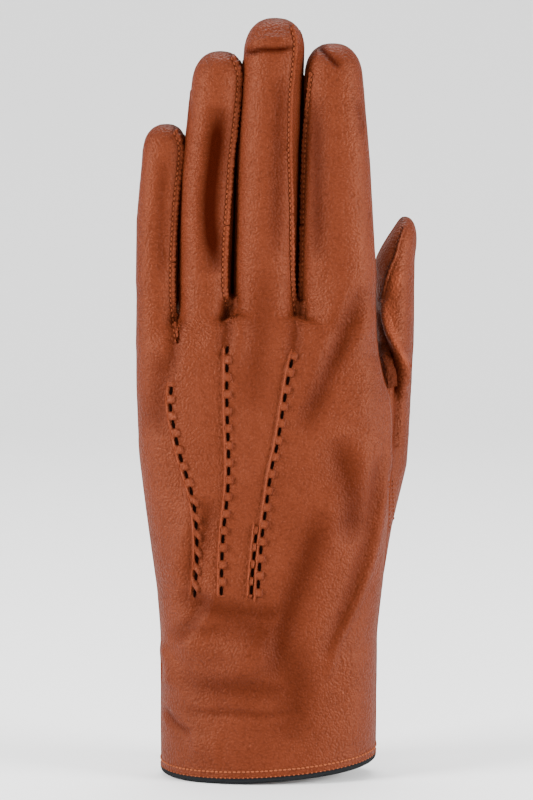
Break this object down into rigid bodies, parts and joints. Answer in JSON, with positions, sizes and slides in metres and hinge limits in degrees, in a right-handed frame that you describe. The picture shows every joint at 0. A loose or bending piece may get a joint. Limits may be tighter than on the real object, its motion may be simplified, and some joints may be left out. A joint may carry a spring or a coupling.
{
  "type": "leather dress glove",
  "caption": "Short lined leather dress glove for the left hand, with stitched points on the back, fourchettes, set-in thumb and bound wrist opening; fingers, thumb and wrist bend.",
  "frame": {"origin": "centre of the wrist opening, at the mean height of its hem", "axes": "+Z from the wrist opening to the fingertips, -Y out of the back of the hand, +Y out of the palm, +X towards the thumb"},
  "size_m": [0.0933, 0.064, 0.2563],
  "materials": {
    "outer_leather": "cognac nappa leather, fine pebble grain, soft satin",
    "gusset_leather": "the same leather, seen in shade between the fingers",
    "turned_leather": "the same leather turned inside the hem",
    "lining": "fine brown knitted lining",
    "seam_thread": "orange-brown sewing thread and raw leather edge",
    "hem_thread": "light orange-brown sewing thread",
    "point_thread": "near-black brown thread",
    "binding": "charcoal black edge binding, slightly ribbed",
    "label": "blank woven label"
  },
  "bodies": {
    "root": {"cuff_leather": "outer_leather", "cuff_hem": "turned_leather", "cuff_lining": "lining", "edge_binding": "binding", "hem_stitching": "hem_thread", "size_label": "label"},
    "hand": {"hand_leather": "outer_leather", "hand_lining": "lining", "little_point": "outer_leather", "middle_point": "outer_leather", "index_point": "outer_leather", "little_point_stitches": "point_thread", "middle_point_stitches": "point_thread", "index_point_stitches": "point_thread"},
    "index_lower": {"index_leather_lower": "outer_leather", "index_lining_lower": "lining", "index_seam_lower": "seam_thread", "index_fourchette_outer_side_lower": "gusset_leather"},
    "index_upper": {"index_leather_upper": "outer_leather", "index_lining_upper": "lining", "index_seam_upper": "seam_thread", "index_fourchette_outer_side_upper": "gusset_leather"},
    "middle_lower": {"middle_leather_lower": "outer_leather", "middle_lining_lower": "lining", "middle_seam_lower": "seam_thread", "middle_fourchette_thumb_side_lower": "gusset_leather", "middle_fourchette_outer_side_lower": "gusset_leather"},
    "middle_upper": {"middle_leather_upper": "outer_leather", "middle_lining_upper": "lining", "middle_seam_upper": "seam_thread", "middle_fourchette_thumb_side_upper": "gusset_leather", "middle_fourchette_outer_side_upper": "gusset_leather"},
    "ring_lower": {"ring_leather_lower": "outer_leather", "ring_lining_lower": "lining", "ring_seam_lower": "seam_thread", "ring_fourchette_thumb_side_lower": "gusset_leather", "ring_fourchette_outer_side_lower": "gusset_leather"},
    "ring_upper": {"ring_leather_upper": "outer_leather", "ring_lining_upper": "lining", "ring_seam_upper": "seam_thread", "ring_fourchette_thumb_side_upper": "gusset_leather", "ring_fourchette_outer_side_upper": "gusset_leather"},
    "little_lower": {"little_leather_lower": "outer_leather", "little_lining_lower": "lining", "little_seam_lower": "seam_thread", "little_fourchette_thumb_side_lower": "gusset_leather"},
    "little_upper": {"little_leather_upper": "outer_leather", "little_lining_upper": "lining", "little_seam_upper": "seam_thread", "little_fourchette_thumb_side_upper": "gusset_leather"},
    "thumb_lower": {"thumb_leather_lower": "outer_leather", "thumb_lining_lower": "lining", "thumb_gusset": "gusset_leather"},
    "thumb_upper": {"thumb_leather_upper": "outer_leather", "thumb_lining_upper": "lining", "thumb_seam": "seam_thread"}
  },
  "joints": [
    {"name": "wrist_bend", "type": "hinge", "parent": "root", "child": "hand", "pos_m": [0, 0, 0.042], "axis": [-1, 0, 0], "range_deg": [-30, 30], "stiffness_Nm_per_rad": 0.35},
    {"name": "index_knuckle", "type": "hinge", "parent": "hand", "child": "index_lower", "pos_m": [0.0224, 0, 0.164], "axis": [-1, 0, 0], "range_deg": [0, 80], "stiffness_Nm_per_rad": 0.03},
    {"name": "index_middle_fold", "type": "hinge", "parent": "index_lower", "child": "index_upper", "pos_m": [0.0222, 0.00088, 0.201], "axis": [-1, 0, 0], "range_deg": [0, 92]},
    {"name": "middle_knuckle", "type": "hinge", "parent": "hand", "child": "middle_lower", "pos_m": [-0.0015, 0, 0.166], "axis": [-1, 0, 0], "range_deg": [0, 80], "stiffness_Nm_per_rad": 0.03},
    {"name": "middle_middle_fold", "type": "hinge", "parent": "middle_lower", "child": "middle_upper", "pos_m": [-0.0005, 0.00088, 0.206], "axis": [-1, 0, 0], "range_deg": [0, 92]},
    {"name": "ring_knuckle", "type": "hinge", "parent": "hand", "child": "ring_lower", "pos_m": [-0.0219, 0, 0.165], "axis": [-1, 0, 0], "range_deg": [0, 80], "stiffness_Nm_per_rad": 0.03},
    {"name": "ring_middle_fold", "type": "hinge", "parent": "ring_lower", "child": "ring_upper", "pos_m": [-0.0209, 0.00082, 0.199], "axis": [-1, 0, 0], "range_deg": [0, 92]},
    {"name": "little_knuckle", "type": "hinge", "parent": "hand", "child": "little_lower", "pos_m": [-0.0382, 0, 0.157], "axis": [-1, 0, 0], "range_deg": [0, 80], "stiffness_Nm_per_rad": 0.03},
    {"name": "little_middle_fold", "type": "hinge", "parent": "little_lower", "child": "little_upper", "pos_m": [-0.0377, 0.00084, 0.184], "axis": [-1, 0, 0], "range_deg": [0, 92]},
    {"name": "thumb_base_fold", "type": "hinge", "parent": "hand", "child": "thumb_lower", "pos_m": [0.04033, 0.0222, 0.127], "axis": [-1, 0, 0], "range_deg": [0, 35], "stiffness_Nm_per_rad": 0.03},
    {"name": "thumb_upper_fold", "type": "hinge", "parent": "thumb_lower", "child": "thumb_upper", "pos_m": [0.0416, 0.027, 0.151], "axis": [-1, 0, 0], "range_deg": [0, 56]}
  ],
  "couplings": [
    {"joint": "index_middle_fold", "follows": "index_knuckle", "ratio": 1.15},
    {"joint": "middle_middle_fold", "follows": "middle_knuckle", "ratio": 1.15},
    {"joint": "ring_middle_fold", "follows": "ring_knuckle", "ratio": 1.15},
    {"joint": "little_middle_fold", "follows": "little_knuckle", "ratio": 1.15},
    {"joint": "thumb_upper_fold", "follows": "thumb_base_fold", "ratio": 1.6}
  ]
}
